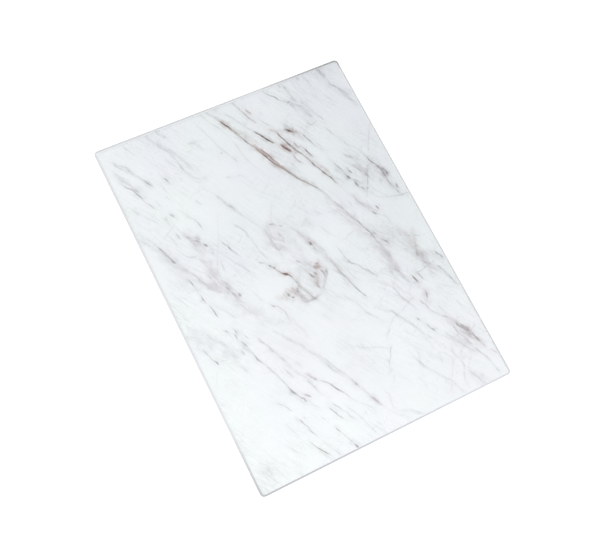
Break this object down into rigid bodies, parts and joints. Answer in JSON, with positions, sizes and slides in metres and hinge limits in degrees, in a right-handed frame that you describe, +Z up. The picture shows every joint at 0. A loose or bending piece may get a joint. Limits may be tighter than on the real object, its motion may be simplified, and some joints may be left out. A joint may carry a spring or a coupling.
{
  "type": "glass cutting board",
  "caption": "Rectangular toughened-glass cutting board with a pale marble print under the glass, rounded corners, a ground edge and small rubber feet.",
  "frame": {"origin": "below the middle of the board, on the surface that its feet stand on", "axes": "+Z up out of the glass, +Y along the board's longer side, +X across it"},
  "size_m": [0.28, 0.38, 0.0074],
  "materials": {
    "toughened_glass": "polished float glass with a pencil-ground edge",
    "marble_print": "printed film, white marble with grey and brown veins",
    "white_backing": "matt white coat",
    "clear_rubber": "satin moulded rubber",
    "clear_adhesive": "die-cut adhesive film"
  },
  "bodies": {
    "root": {"glass_pane": "toughened_glass", "marble_print": "marble_print", "white_backing": "white_backing", "foot_front_left": "clear_rubber", "foot_front_right": "clear_rubber", "foot_back_left": "clear_rubber", "foot_back_right": "clear_rubber", "adhesive_front_left": "clear_adhesive", "adhesive_front_right": "clear_adhesive", "adhesive_back_left": "clear_adhesive", "adhesive_back_right": "clear_adhesive"}
  },
  "joints": []
}
